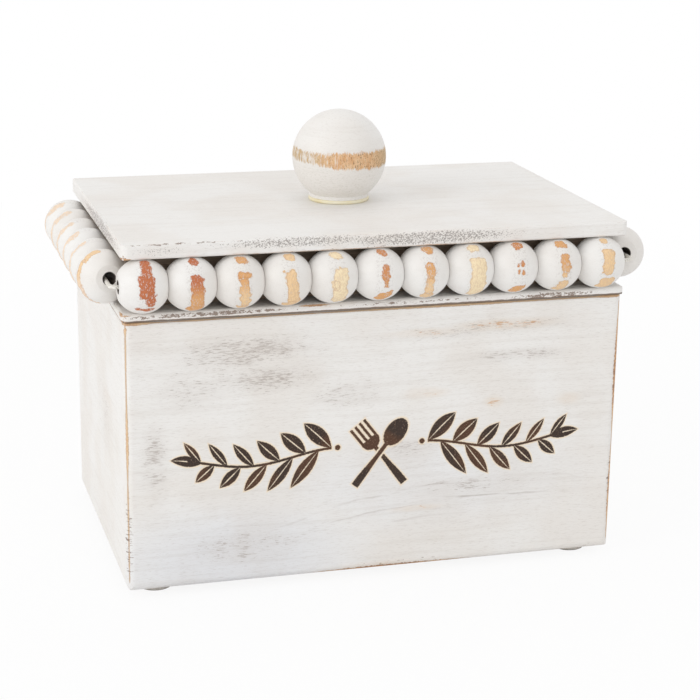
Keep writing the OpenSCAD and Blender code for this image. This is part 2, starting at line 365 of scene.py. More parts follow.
def make_dashes():
    """Short marks that show more where Reach is higher, from Rare to Dense."""
    inputs = numbers(Pattern=0.0, Reach=0.0, Rare=0.76, Dense=0.5, Softness=0.06)
    w, given, made = new_effect("dashes", inputs, [MASK])
    level = w.fade(given["Reach"], given["Rare"], given["Dense"])
    w.feed(made["Mask"], w.step(given["Pattern"], level, w.math("ADD", level, given["Softness"])))


def make_ball_place():
    """Where a point is on a drilled ball: (along its hole, round it from its outer side, 0)."""
    w, given, made = new_effect(
        "ball place",
        [
            PLACE,
            MIDDLE,
            ("Along", "vector", (1, 0, 0)),
            ("Outward", "vector", (0, -1, 0)),
            ("Radius", "number", 10.0),
        ],
        [("Place", "vector"), ("From hole", "number")],
    )
    there = w.vector("SUBTRACT", given["Place"], given["Middle"])
    along = w.vector("DOT_PRODUCT", there, given["Along"])
    out = w.vector("DOT_PRODUCT", there, given["Outward"])
    up = w.vector("DOT_PRODUCT", there, w.vector("CROSS_PRODUCT", given["Outward"], given["Along"]))
    turn = w.times(w.math("ARCTAN2", up, out), given["Radius"])
    w.feed(made["Place"], w.join(along, turn, 0.0))
    w.feed(made["From hole"], w.vector("LENGTH", w.join(up, out, 0.0)))


def make_effects():
    make_edge_distance()
    make_spot()
    make_chip()
    make_grain()
    make_growth_lines()
    make_bare_wood()
    make_paint()
    make_dashes()
    make_ball_place()
    make_leaf()
    make_ornament()


# Finishes

BOARD_PAINT = rgb(240, 238, 235)
COOL_PAINT = rgb(230, 231, 234)
BALL_PAINT = rgb(238, 236, 233)
SCRATCH_TONE = rgb(160, 146, 137)
HAZE_TONE = rgb(206, 198, 191)
RUB_HAZE_TONE = rgb(228, 204, 176)
EDGE_TAN = rgb(232, 212, 184)
EDGE_LINE_TONE = rgb(158, 116, 82)
STIPPLE_TONE = rgb(120, 109, 103)
NICK_TONE = rgb(112, 84, 64)
BURNT_TONE = rgb(42, 25, 13)
BURNT_WARM = rgb(106, 63, 30)
SCORCH_TONE = rgb(246, 216, 168)
# The next tone is painted shade, for the dark line where the lid meets the rim.
SEAM_SHADE_TONE = rgb(96, 74, 54)
BOARD_BUMP = 0.03
BALL_BUMP = 0.05
STEEL_BUMP = 0.01
CORD_BUMP = 0.08

# How strongly each mark covers the paint
HAZE_SHARE = 0.3
FAINT_SHARE = 0.12
SCRATCH_SHARE = 0.56
LINE_SHARE = 0.5
RUB_SHARE = 0.66
STIPPLE_SHARE = 0.7
BORDER_SHARE = 0.5
NICK_SHARE = 0.8
SCORCH_SHARE = 0.55
SEAM_SHADE_SHARE = 0.85


def new_finish(name):
    """A material, its wiring and surface shader, and the place in millimetres that patterns read."""
    material = bpy.data.materials.new(name)
    material.use_nodes = True
    w = Wiring(material.node_tree)
    shader = material.node_tree.nodes["Principled BSDF"]
    here = w.node("ShaderNodeTexCoord").outputs["Object"]
    return material, w, shader, w.vector("DIVIDE", here, (MM, MM, MM))


def finish_with(w, shader, colour, rough, height, depth):
    """Wires the surface. depth is how deep the height's full range is, in millimetres."""
    w.feed(shader.inputs["Base Color"], colour)
    w.feed(shader.inputs["Roughness"], rough)
    bump = w.node("ShaderNodeBump", ("Height", height), ("Strength", 1.0), ("Distance", depth * MM))
    w.feed(shader.inputs["Normal"], bump.outputs[0])


def spots(w, place, listed):
    """The strongest of some soft patches, each given as (middle, reach, strength)."""
    masks = []
    for middle, reach, strength in listed:
        mask = w.group("spot", Place=place, Middle=middle, Reach=reach)["Mask"]
        masks.append(w.times(mask, strength))
    return w.strongest(*masks)


def dashes(w, pattern, reach, rare, dense, softness=0.06):
    """Short marks in a pattern, from rare to dense as reach goes from 0 to 1."""
    made = w.group("dashes", Pattern=pattern, Reach=reach, Rare=rare, Dense=dense, Softness=softness)
    return made["Mask"]


def no_colour_change(w, place, colour, height):
    return colour, height


def whitewash(w, place, squeeze, block, ease, scratches, rubbed, edges, **more):
    """White paint rubbed through to the wood: its colour, height and roughness.

    block is the box whose edges are worn, and ease is the radius that its edges are eased by. The
    rest are lists of spots: scratches are dry brush marks, rubbed are places worn to orange wood and
    edges are stretches of edge that are worn most. nicks are short dark cuts, stipple is fine grey
    speckle, cool is where the paint is bluer and edge_line is the worn edge's width elsewhere. rim_ease
    takes the place of ease at the box's rim. nick_level and nick_scale set how dense and how long the
    nicks are, and lines and drawn are functions that add marks of their own."""
    grain = w.group("grain", Place=place, Squeeze=squeeze)
    tone = BOARD_PAINT
    if "cool" in more:
        tone = w.blend(spots(w, place, more["cool"]), BOARD_PAINT, COOL_PAINT)
    paint = w.group("paint", Place=place, Along=grain["Along"], Tone=tone, Thin=1.0)
    height = paint["Height"]

    patchy = w.step(w.streaks(place, (0.07, 0.07, 0.2), 1.0, 2.0), 0.36, 0.6, 0.5, 1.0)
    scratch_reach = w.times(spots(w, place, scratches), patchy)
    hair = w.streaks(grain["Along"], (1.5, 1.5, 1), 3.3, 3.0, 0.65)
    scratch = dashes(w, hair, scratch_reach, 0.70, 0.465, 0.10)
    faint = w.group("dashes", Pattern=hair, Rare=0.58, Softness=0.12)["Mask"]
    short = w.streaks(grain["Along"], (3.0, 3.0, 1.0), 1.6, 3.0, 0.65)
    rub_reach = w.times(spots(w, place, rubbed), patchy)
    rub = dashes(w, short, rub_reach, 0.86, 0.46, 0.10)

    orange = w.group("bare wood", Fibre=grain["Fibre"], Rings=grain["Rings"], Depth=0.42)["Colour"]
    colour = w.blend(w.times(scratch_reach, HAZE_SHARE), paint["Colour"], HAZE_TONE)
    colour = w.blend(w.times(rub_reach, HAZE_SHARE), colour, RUB_HAZE_TONE)
    colour = w.blend(w.times(faint, FAINT_SHARE), colour, SCRATCH_TONE)
    colour = w.blend(w.times(scratch, SCRATCH_SHARE), colour, SCRATCH_TONE)
    if "lines" in more:
        colour = w.blend(w.times(more["lines"](w, place), LINE_SHARE), colour, SCRATCH_TONE)
    colour = w.blend(w.times(rub, RUB_SHARE), colour, orange)
    if "stipple" in more:
        fine = w.streaks(place, (1.4, 1.4, 1.8), 1.0, 3.0, 0.75)
        speckle = dashes(w, fine, spots(w, place, more["stipple"]), 0.78, 0.475)
        colour = w.blend(w.times(speckle, STIPPLE_SHARE), colour, STIPPLE_TONE)
    colour, height = more.get("drawn", no_colour_change)(w, place, colour, height)

    middle, half = middle_of(block), half_of(block)
    distance = w.group("edge distance", Place=place, Middle=middle, Half_size=half)["Distance"]
    eased_by = w.step(w.split(place)[2], RIM_Z - 3.0, RIM_Z - 1.6, ease, more.get("rim_ease", ease))
    from_edge = w.math("MULTIPLY_ADD", eased_by, math.sqrt(0.5) - 1, distance)
    ragged = w.noise(place, 0.9, 4.0, 0.75)
    slow = w.noise(place, 0.1, 2.0, 0.6)
    most_worn = spots(w, place, edges)
    width = w.sway(slow, 0.5, more.get("edge_line", 0.24))
    near_foot = w.step(w.split(place)[2], FOOT_Z + 5.0, FOOT_Z + 2.0)
    width = w.math("MULTIPLY_ADD", near_foot, -0.4, width)
    width = w.math("MULTIPLY_ADD", most_worn, 0.8, width)
    rough_width = w.sway(ragged, w.fade(most_worn, 0.36, 2.4), width)
    inside = w.minus(rough_width, from_edge)
    worn_edge = w.step(inside, -0.06, 0.14)
    border = w.step(w.math("ABSOLUTE", w.minus(inside, 0.08)), 0.26, 0.04)
    streak_depth, least_depth = w.fade(most_worn, 0.08, 0.5), w.fade(most_worn, 0.1, 0.42)
    edge_depth = w.math("MULTIPLY_ADD", w.step(ragged, 0.42, 0.62), streak_depth, least_depth)
    edge_wood = w.group("bare wood", Fibre=grain["Fibre"], Rings=short, Depth=edge_depth)["Colour"]
    edge_wood = w.blend(w.math("MULTIPLY_ADD", most_worn, -0.45, 0.55), edge_wood, EDGE_TAN)
    colour = w.blend(worn_edge, colour, edge_wood)
    colour = w.blend(w.times(border, BORDER_SHARE), colour, EDGE_LINE_TONE)
    if "nicks" in more:
        cuts = w.streaks(place, more.get("nick_scale", (0.3, 0.3, 1.9)), 1.0, 3.0, 0.7)
        dense = more.get("nick_level", 0.53)
        nick = dashes(w, cuts, spots(w, place, more["nicks"]), 0.86, dense)
        colour = w.blend(w.times(nick, NICK_SHARE), colour, NICK_TONE)
    height = w.math("MULTIPLY_ADD", w.strongest(scratch, rub, worn_edge), -0.7, height)
    return colour, height, w.step(paint["Height"], 0.3, 0.7, 0.62, 0.5)


def board_finish(name, squeeze, block, ease, scratches, rubbed, edges, **more):
    material, w, shader, place = new_finish(name)
    colour, height, rough = whitewash(w, place, squeeze, block, ease, scratches, rubbed, edges, **more)
    finish_with(w, shader, colour, rough, height, BOARD_BUMP)
    return material


ALONG_X = (0.07, 1, 1)
ALONG_Y = (1, 0.07, 1)
BOX_EASE = 3.0
BOX_RIM_EASE = 1.4
LOWER_EASE = 1.5
TOP_EASE = 0.9


def front_lines(w, place):
    """Thin arched growth lines across the lower half of the front."""
    x, _, z = w.split(place)
    across = w.math("ADD", z, 0.75)
    lines = w.group("growth lines", Along=x, Across=across, Peak=45.0, Arch=0.0017, Spacing=6.5)
    where = spots(w, place, [((34, FRONT, 33), (70, 9, 11), 1.0), ((-6, FRONT, 26), (44, 9, 6), 0.8)])
    broken = w.step(w.streaks(place, (0.05, 1, 0.5), 1.0, 2.0), 0.45, 0.6)
    return w.times(lines["Mask"], w.times(where, broken))


def front_finish():
    return board_finish(
        "whitewash_front",
        ALONG_X,
        BODY,
        BOX_EASE,
        rim_ease=BOX_RIM_EASE,
        scratches=[
            ((-54, FRONT, 98), (44, 9, 13), 1.0),
            ((-46, FRONT, 88), (36, 9, 10), 1.0),
            ((-12, FRONT, 79), (24, 9, 9), 0.9),
            ((-90, FRONT, 54), (8, 9, 27), 1.0),
            ((30, FRONT, 101), (60, 9, 4), 0.7),
            ((58, FRONT, 90), (34, 9, 4), 0.9),
            ((52, FRONT, 103), (40, 9, 4.5), 0.8),
            ((-76, FRONT, 84), (22, 9, 12), 0.7),
            ((40, FRONT, 36), (52, 9, 5), 0.8),
            ((-54, FRONT, 18), (34, 9, 10), 0.8),
            ((14, FRONT, 54), (26, 9, 6), 0.8),
        ],
        rubbed=[
            ((52, FRONT, 103), (30, 9, 3.5), 1.0),
            ((18, FRONT, 101.5), (24, 9, 2.5), 0.8),
            ((19, FRONT, 76.5), (13, 9, 3.5), 0.9),
            ((48, FRONT, 71), (6, 9, 4), 0.9),
            ((80, FRONT, 70), (8, 9, 4), 0.7),
            ((16, FRONT, 28), (16, 9, 2.0), 0.8),
            ((4, FRONT, 4), (40, 9, 3.5), 0.9),
        ],
        edges=[
            ((LEFT, FRONT, 65), (5, 5, 16), 0.35),
            ((RIGHT, FRONT, 80), (5, 5, 34), 1.0),
            ((RIGHT, FRONT, 28), (5, 5, 26), 0.7),
            ((6, FRONT, FOOT_Z), (44, 5, 5), 1.0),
            ((28, FRONT, RIM_Z), (44, 5, 4), 0.2),
            ((RIGHT - 4, FRONT, RIM_Z), (10, 5, 3), 0.45),
            ((LEFT + 3, FRONT, RIM_Z - 1), (9, 5, 5), 0.5),
        ],
        nicks=[
            ((LEFT + 0.8, FRONT, 24), (3.4, 9, 40), 1.0),
            ((RIGHT - 1, FRONT, 34), (3.2, 9, 28), 1.0),
            ((RIGHT - 8, FRONT, FOOT_Z + 1), (12, 9, 5), 0.7),
            ((8, FRONT, FOOT_Z + 2), (40, 9, 4), 0.8),
        ],
        cool=[((-60, FRONT, 12), (70, 9, 34), 0.9), ((20, FRONT, 40), (90, 9, 30), 0.4)],
        lines=front_lines,
        drawn=burnt_ornament,
    )


def side_finish():
    return board_finish(
        "whitewash_side",
        ALONG_Y,
        BODY,
        BOX_EASE,
        rim_ease=BOX_RIM_EASE,
        scratches=[
            ((LEFT, -14, 62), (9, 26, 26), 0.6),
            ((RIGHT, -8, 66), (9, 56, 22), 0.8),
            ((RIGHT, 20, 36), (9, 40, 12), 0.7),
            ((RIGHT, -30, 96), (9, 40, 7), 0.8),
        ],
        rubbed=[((LEFT, -22, 70), (9, 20, 5), 0.3), ((RIGHT, 15, 95), (9, 30, 6), 0.9)],
        edges=[((LEFT, FRONT, 65), (5, 5, 16), 0.35), ((RIGHT, BACK, 60), (5, 5, 40), 0.7)],
        nicks=[((RIGHT, FRONT + 3, 34), (9, 6, 30), 0.8)],
    )


def back_finish():
    return board_finish(
        "whitewash_back",
        ALONG_X,
        BODY,
        BOX_EASE,
        rim_ease=BOX_RIM_EASE,
        scratches=[
            ((40, BACK, 84), (74, 9, 16), 0.8),
            ((-46, BACK, 40), (66, 9, 14), 0.75),
            ((-60, BACK, 98), (56, 9, 7), 0.7),
            ((56, BACK, 24), (50, 9, 8), 0.7),
        ],
        rubbed=[((-20, BACK, 100), (40, 9, 5), 0.9), ((40, BACK, 24), (30, 9, 4), 0.7)],
        edges=[((-20, BACK, FOOT_Z), (50, 5, 5), 0.9), ((LEFT, BACK, 70), (5, 5, 36), 0.7)],
        nicks=[((RIGHT - 2, BACK, 40), (5, 9, 30), 0.9), ((LEFT + 2, BACK, 80), (5, 9, 20), 0.7)],
    )


def seam_shade_line(w, place, colour, height):
    """The line where the lower board meets the rim, darkened with painted shade."""
    low = w.minus(w.split(place)[2], LOWER[0][2])
    wander = w.sway(w.noise(place, 0.25, 3.0, 0.6), 0.9, 0.95)
    # Painted shade: a dark wavering line along the seam under the lid.
    seam_shade_mask = w.step(w.minus(wander, low), -0.1, 0.15)
    return w.blend(w.times(seam_shade_mask, SEAM_SHADE_SHARE), colour, SEAM_SHADE_TONE), height


def lower_board_finish():
    top_z = LOWER[1][2]
    low_y = LOWER[0][1]
    return board_finish(
        "whitewash_lower_board",
        ALONG_X,
        LOWER,
        LOWER_EASE,
        scratches=[((0, low_y, top_z), (110, 12, 5), 0.6)],
        rubbed=[((-20, low_y, top_z), (14, 6, 3), 0.9)],
        edges=[
            ((-27, low_y, top_z), (9, 4, 3), 0.7),
            ((LOWER[0][0], low_y + 3, top_z - 1.5), (6, 6, 3), 0.8),
        ],
        nicks=[
            ((-72, low_y, top_z - 1.3), (70, 3.0, 1.5), 1.15),
            ((10, low_y, top_z - 1.2), (60, 3.0, 1.2), 0.85),
            ((72, low_y, top_z - 1.8), (38, 3.0, 2.4), 1.0),
        ],
        edge_line=-0.12,
        nick_level=0.455,
        nick_scale=(0.62, 0.3, 1.3),
        drawn=seam_shade_line,
    )


def top_board_finish():
    low_y, high_z = TOP[0][1], TOP[1][2]
    left, low_z = TOP[0][0], TOP[0][2]
    return board_finish(
        "whitewash_top_board",
        ALONG_X,
        TOP,
        TOP_EASE,
        scratches=[((0, 0, high_z), (120, 70, 6), 0.25), ((left, 0, high_z - 3), (4, 66, 4), 0.8)],
        rubbed=[((0, low_y, high_z), (50, 5, 4), 0.25)],
        edges=[
            ((left + 1, low_y + 1, low_z + 0.5), (4, 4, 4), 0.9),
            ((0, low_y, low_z), (100, 3, 1.6), 0.25),
        ],
        stipple=[
            ((-34, low_y, high_z - 1.8), (60, 7, 4.0), 1.0),
            ((18, low_y, high_z - 2.6), (66, 7, 4.8), 1.1),
            ((-88, low_y, high_z - 3.0), (20, 7, 3.2), 0.75),
            ((left, -16, high_z - 2.5), (4, 80, 5), 1.1),
        ],
        nicks=[
            ((-76, low_y, high_z - 0.4), (56, 3, 0.8), 0.85),
            # Along the lower arrises, left and front, the dark nicks are partly wear and partly painted
            # shade of the gap above the beads.
            ((left, -16, low_z + 0.5), (3, 84, 1.8), 1.0),
            ((10, low_y, low_z + 0.5), (90, 3, 1.0), 0.55),
        ],
        nick_level=0.45,
        nick_scale=(0.4, 0.4, 1.3),
        edge_line=-0.10,
    )


# The ornament burnt into the front: a crossed spoon and fork between two leafy sprigs

ORNAMENT_MIDDLE = (0.5, 54.0)
SPRIG_FROM, SPRIG_TO = 20.0, 78.0
STEM_WAVE, STEM_PERIOD = 2.5, 70.0
LEAF_PITCH = 10.5
LEAF_ANGLE = math.radians(48)
LEAF_LENGTH, LEAF_WIDTH = 17.0, 5.9
LEAF_SHRINK = 0.9
CUTLERY_ANGLE = math.radians(52)
CUTLERY_SCALE = 1.12
HANDLE_END = -15.0
HANDLE_HALF = (0.75, 1.35)
BURNT_DEPTH = -2.5


def make_leaf():
    """How far a point is outside a leaf. Along runs from its stalk, and Off from its midrib."""
    inputs = numbers(Along=0.0, Off=0.0, Length=10.0, Width=4.0)
    w, given, made = new_effect("leaf", inputs, [DISTANCE])
    share = w.math("DIVIDE", given["Along"], given["Length"])
    belly = w.times(w.times(share, w.minus(1.0, share)), 4.0)
    off = w.math("ABSOLUTE", given["Off"])
    outline = w.minus(off, w.times(w.times(belly, given["Width"]), 0.5))
    midrib = w.minus(w.times(belly, 0.22), off)
    w.feed(made["Distance"], w.math("MAXIMUM", outline, midrib))


def leaf_row(w, along, stem_off, side):
    """The leaves on one side of a stem, leaning outwards. side is 1 above it and -1 below it."""
    up = w.times(stem_off, side)
    start = SPRIG_FROM if side > 0 else SPRIG_FROM + LEAF_PITCH / 2
    last = 5 if side > 0 else 4
    leaned = w.math("MULTIPLY_ADD", up, -1 / math.tan(LEAF_ANGLE), w.minus(along, start))
    nearest = w.math("ROUND", w.math("DIVIDE", leaned, LEAF_PITCH))
    number = w.math("MINIMUM", w.math("MAXIMUM", nearest, 0.0), last)
    off = w.minus(leaned, w.times(number, LEAF_PITCH))
    size = w.math("POWER", LEAF_SHRINK, number)
    sin, cos = math.sin(LEAF_ANGLE), math.cos(LEAF_ANGLE)
    leaf = w.group(
        "leaf",
        Along=w.math("MULTIPLY_ADD", off, cos, w.math("DIVIDE", up, sin)),
        Off=w.times(off, sin),
        Length=w.times(size, LEAF_LENGTH),
        Width=w.times(size, LEAF_WIDTH),
    )
    return leaf["Distance"]


def sprig(w, x, z):
    """How far a point is outside the sprigs, which mirror each other."""
    along = w.math("ABSOLUTE", x)
    turn = w.times(w.minus(along, SPRIG_FROM - 2), 2 * math.pi / STEM_PERIOD)
    stem_off = w.minus(z, w.times(w.math("COSINE", turn), STEM_WAVE))
    thick = w.minus(w.math("ABSOLUTE", stem_off), 0.5)
    past_end = w.math("MAXIMUM", w.minus(SPRIG_FROM, along), w.minus(along, SPRIG_TO))
    stem = w.math("MAXIMUM", thick, past_end)
    end = w.group("leaf", Along=w.minus(along, SPRIG_TO - 6), Off=stem_off, Length=12.5, Width=4.4)
    bud = w.join(w.minus(along, SPRIG_FROM - 2.5), stem_off, 0.0)
    distances = [stem, end["Distance"], w.minus(w.vector("LENGTH", bud), 1.1)]
    distances += [leaf_row(w, along, stem_off, side) for side in (1, -1)]
    return nearest_of(w, *distances)


def nearest_of(w, *distances):
    least = distances[0]
    for distance in distances[1:]:
        least = w.math("MINIMUM", least, distance)
    return least


def oval(w, s, t, middle, along_r, across_r):
    """How far a point is outside an oval, nearly."""
    unit = w.join(w.math("DIVIDE", w.minus(s, middle), along_r), w.math("DIVIDE", t, across_r), 0.0)
    return w.times(w.minus(w.vector("LENGTH", unit), 1.0), min(along_r, across_r))


def bar(w, s, t, low, high, half):
    """How far a point is outside a straight bar."""
    ends = w.math("MAXIMUM", w.minus(low, s), w.minus(s, high))
    return w.math("MAXIMUM", w.minus(w.math("ABSOLUTE", t), half), ends)


def cutlery(w, x, z):
    """How far a point is outside the spoon and the fork. The spoon passes over the fork."""
    cos, sin = math.cos(CUTLERY_ANGLE) / CUTLERY_SCALE, math.sin(CUTLERY_ANGLE) / CUTLERY_SCALE
    drop = w.math("ADD", z, 1.0)
    along, across = [], []
    for side in (1, -1):
        along.append(w.math("MULTIPLY_ADD", x, side * cos, w.times(drop, sin)))
        across.append(w.math("MULTIPLY_ADD", x, -side * sin, w.times(drop, cos)))
    s, t = along[0], across[0]
    handle_half = w.step(s, 0.0, -13.0, *HANDLE_HALF)
    spoon = nearest_of(w, bar(w, s, t, HANDLE_END, 5.0, handle_half), oval(w, s, t, 9.3, 5.6, 3.7))
    s, t = along[1], across[1]
    handle_half = w.step(s, 0.0, -13.0, *HANDLE_HALF)
    tine_off = w.minus(w.math("ABSOLUTE", w.minus(w.math("ABSOLUTE", t), 2.0)), 1.0)
    tines = bar(w, s, tine_off, 5.5, 13.8, 0.5)
    root = w.math("MAXIMUM", oval(w, s, t, 5.8, 3.2, 3.5), w.minus(s, 6.8))
    fork = nearest_of(w, bar(w, s, t, HANDLE_END, 4.0, handle_half), root, tines)
    fork = w.math("MAXIMUM", fork, w.minus(0.7, spoon))
    return nearest_of(w, spoon, fork)


def make_ornament():
    """Where the ornament is burnt in, and where the heat has yellowed the paint beside it."""
    outputs = [("Burnt", "number"), ("Scorch", "number")]
    w, given, made = new_effect("burnt ornament", [PLACE], outputs)
    x, y, z = w.split(given["Place"])
    x = w.minus(x, ORNAMENT_MIDDLE[0])
    z = w.minus(z, ORNAMENT_MIDDLE[1])
    rough = w.times(w.minus(w.noise(given["Place"], 1.6, 2.0, 0.6), 0.5), 0.5)
    distance = w.math("ADD", nearest_of(w, sprig(w, x, z), cutlery(w, x, z)), rough)
    on_front = w.step(y, FRONT + 0.4, FRONT + 0.1)
    w.feed(made["Burnt"], w.times(w.step(distance, 0.16, -0.12), on_front))
    w.feed(made["Scorch"], w.times(w.step(distance, 0.9, 0.1), on_front))


def burnt_ornament(w, place, colour, height):
    """Draws the ornament into the front's paint."""
    ornament = w.group("burnt ornament", Place=place)
    speck = w.streaks(place, (0.8, 1, 1.2), 2.0, 3.0, 0.7)
    warm = w.step(w.noise(place, 0.06, 2.0, 0.5), 0.46, 0.62, 0.0, 0.8)
    burnt = w.blend(warm, BURNT_TONE, w.blend(0.5, BURNT_TONE, BURNT_WARM))
    burnt = w.blend(w.step(speck, 0.5, 0.7, 0.0, 0.7), burnt, BURNT_WARM)
    worn = w.minus(1.0, w.step(speck, 0.6, 0.7, 0.0, 0.5))
    scorched = w.blend(w.times(ornament["Scorch"], SCORCH_SHARE), colour, SCORCH_TONE)
    burnt_share = w.times(ornament["Burnt"], worn)
    sunk = w.math("MULTIPLY_ADD", ornament["Burnt"], BURNT_DEPTH, height)
    return w.blend(burnt_share, scorched, burnt), sunk


# The balls: each bead's wood and the places where its band is rubbed bare

STRAW = rgb(249, 231, 196)
HONEY = rgb(242, 208, 162)
AMBER = rgb(224, 163, 98)
COPPER = rgb(208, 130, 64)
RUST = rgb(188, 86, 18)
PALE_WOOD = rgb(243, 221, 200)

# Each front bead's wood above and below, how much paint stays in its patches, and the patches. A patch is
# (from, to) round the bead in degrees above straight out, (from, to) along it in mm, and how far it leans.
FRONT_BEADS = [
    (RUST, RUST, 0.6, [
        (30, 78, -2.0, 2.4, 0), (-14, 36, -3.2, 3.2, 0),
        (-36, 0, -0.8, 3.4, 0), (-52, -40, -4.2, 2.6, 0.2),
    ]),
    (RUST, AMBER, 0.45, [(54, 78, -1.8, 1.8, 0), (-62, 30, -2.0, 3.2, 0.05), (-64, -44, -3.0, 3.2, 0)]),
    (AMBER, HONEY, 0.4, [
        (52, 76, -2.2, 1.8, 0), (17, 31, -2.2, 2.6, 0),
        (-60, 22, -1.4, 2.2, 0.1), (-64, -48, -2.8, 2.2, 0.1),
    ]),
    (HONEY, HONEY, 0.25, [(52, 76, -2.2, 2.2, 0), (-60, 32, -2.0, 2.6, 0.14), (-66, -46, -3.2, 2.2, 0.1)]),
    (STRAW, STRAW, 0.3, [(50, 74, -2.4, 2.2, 0), (-58, 30, -2.2, 3.6, 0), (-18, 4, -3.2, 0, 0)]),
    (COPPER, AMBER, 0.5, [
        (54, 76, -2.2, 1.8, 0), (-2, 30, -1.6, 1.6, 0),
        (-18, 4, -0.6, 1.2, 0), (-60, -28, -2.8, 2.6, -0.35),
    ]),
    (AMBER, HONEY, 0.6, [
        (50, 76, -2.4, 2.2, 0), (-2, 34, -2.6, 1.6, 0),
        (-44, 2, -2.0, 1.0, 0), (-64, -42, -2.8, 2.0, 0),
    ]),
    (STRAW, STRAW, 0.2, [(50, 74, -2.2, 2.4, 0), (-62, 38, -2.4, 4.2, 0)]),
    (COPPER, AMBER, 0.6, [
        (52, 74, -2.4, 1.8, 0), (10, 28, 0.0, 1.3, 0), (-6, 6, 0.4, 1.5, 0),
        (12, 19, -1.9, -1.0, 0), (-4, 3, -1.5, -0.8, 0), (-60, -34, -3.2, 2.4, -0.4),
    ]),
    (AMBER, HONEY, 0.45, [
        (50, 74, -2.6, 1.2, 0.3), (-6, 35, -1.8, 1.8, 0),
        (-18, -4, -1.2, 0.8, 0), (-66, -28, -3.0, 1.8, -0.3),
    ]),
    (HONEY, HONEY, 0.3, [(54, 74, -1.8, 1.0, 0), (-18, 40, -2.4, 2.6, 0), (-64, -22, -3.2, 3.2, -0.25)]),
]
WOOD_SHADE = rgb(228, 206, 178)
RIM_TONE = rgb(168, 104, 66)
SMEAR_TINT = rgb(222, 217, 215)
CHIP_ROUND = 1.7
BEAD_HOLE_R = 2.6
# The next tone is painted shade inside the beads' holes.
HOLE_SHADE_TONE = rgb(74, 58, 46)
CHIP_MIDDLE_SHIFT = 0.3
RIM_SHARE = 0.36


def hole_axis(bead, outward):
    """The way a bead's hole points, which is the most common normal: that of the flats round it."""
    found = Counter()
    for face in NODES[bead].data.polygons:
        side = 1 if face.normal.dot(Vector((0, 0, 1)).cross(outward)) > 0 else -1
        found[tuple(round(side * part, 2) for part in face.normal)] += 1
    return Vector(found.most_common(1)[0][0]).normalized()


def bead_finish(bead, outward, tones, speckled, patches):
    """A painted bead rubbed bare in patches. tones are its wood above and below, and speckled is how
    much paint stays in the patches."""
    material, w, shader, place = new_finish("painted_" + bead)
    block = box_mm(bead)
    radius = (block[1][2] - block[0][2]) / 2
    along = hole_axis(bead, Vector(outward))
    squared = (Vector(outward) - along * along.dot(outward)).normalized()
    middle = middle_of(block)
    axes = {"Along": tuple(along), "Outward": tuple(squared)}
    ball = w.group("ball place", Place=place, Middle=middle, Radius=radius, **axes)
    on_ball = ball["Place"]
    slow = w.times(w.minus(w.noise(place, 0.38, 2.0, 0.5), 0.5), 3.4)
    fast = w.streaks(place, (1, 1, 0.8), 1.5, 3.0, 0.7)
    ragged = w.sway(fast, 1.8, slow)
    chips, rims = [], []
    for low, high, left, right, slant in patches:
        half_x = (right - left) / 2
        half_y = math.radians((high - low) / 2) * radius
        middle_x = (left + right) / 2 + CHIP_MIDDLE_SHIFT
        middle_y = math.radians((low + high) / 2) * radius
        chip = w.group(
            "chip",
            Place=on_ball,
            Middle=(middle_x, middle_y, 0),
            Half_size=(half_x, half_y, 1),
            Round=min(CHIP_ROUND, 0.85 * half_x, 0.85 * half_y),
            Slant=float(slant),
            Ragged=ragged,
        )
        chips.append(chip["Mask"])
        rims.append(chip["Rim"])
    streaky = w.scaled(on_ball, (1.5, 0.7, 1))
    speck = w.noise(w.vector("ADD", streaky, middle), 1.3, 3.0, 0.7)
    left_paint = w.times(w.step(speck, 0.53, 0.62), speckled)
    bare = w.times(w.strongest(*chips), w.minus(1.0, left_paint))
    turned = w.scaled(place, (0.6, 0.6, 0.6))
    paint = w.group("paint", Place=place, Along=turned, Tone=BALL_PAINT, Thin=0.5)
    height_share = w.step(w.split(on_ball)[1], -5.0, 4.0)
    wood = w.blend(height_share, tones[1], tones[0])
    paler, shaded = w.blend(0.12, wood, STRAW), w.blend(1.0, wood, WOOD_SHADE, "MULTIPLY")
    wood = w.blend(w.step(speck, 0.38, 0.66, 0.0, 0.6), paler, shaded)
    rim_share = 0.0 if tones[0] == PALE_WOOD else RIM_SHARE
    wood = w.blend(w.times(w.strongest(*rims), rim_share), wood, RIM_TONE)
    on_band = w.step(w.math("ABSOLUTE", w.split(on_ball)[0]), 4.2, 2.4, 0.0, 0.6)
    smear = w.times(w.step(fast, 0.50, 0.64), on_band)
    smeared = w.blend(1.0, paint["Colour"], SMEAR_TINT, "MULTIPLY")
    painted = w.blend(smear, paint["Colour"], smeared)
    colour = w.blend(bare, painted, wood)
    # Painted shade: the inside of the bead's hole is darkened.
    hole_shade = w.step(ball["From hole"], BEAD_HOLE_R + 0.2, BEAD_HOLE_R - 0.05)
    colour = w.blend(hole_shade, colour, HOLE_SHADE_TONE)
    height = w.math("MULTIPLY_ADD", bare, -1.0, paint["Height"])
    finish_with(w, shader, colour, w.fade(bare, 0.5, 0.7), height, BALL_BUMP)
    return material


def random_patches(draw):
    """A worn band in one to three pieces, as on the beads that show from the front."""
    middle = draw.uniform(-1.6, 1.0)
    width = draw.uniform(1.4, 2.6)
    top_high = draw.uniform(74, 86)
    top_right = middle + draw.uniform(0.5, 1.0) * width
    patches = [(58, top_high, middle - width * 0.9, top_right, draw.uniform(-0.3, 0.3))]
    left, right = middle - width, middle + width
    if draw.random() < 0.5:
        patches.append((-62, draw.uniform(28, 42), left, right, draw.uniform(-0.1, 0.1)))
    else:
        gap = draw.uniform(-20, 6)
        patches.append((gap + 8, 40, left, middle + width * 0.6, 0))
        patches.append((-64, gap - 4, middle - width * 0.8, right, draw.uniform(-0.3, 0.3)))
    return patches


# The near bead of the left row shows a crescent of bare wood that runs round from its top
LEFT_CORNER_PATCHES = [(36, 84, 0.6, 3.8, 0), (-40, 44, 0.8, 3.2, 0.05), (-80, -30, 1.2, 2.8, -0.04)]


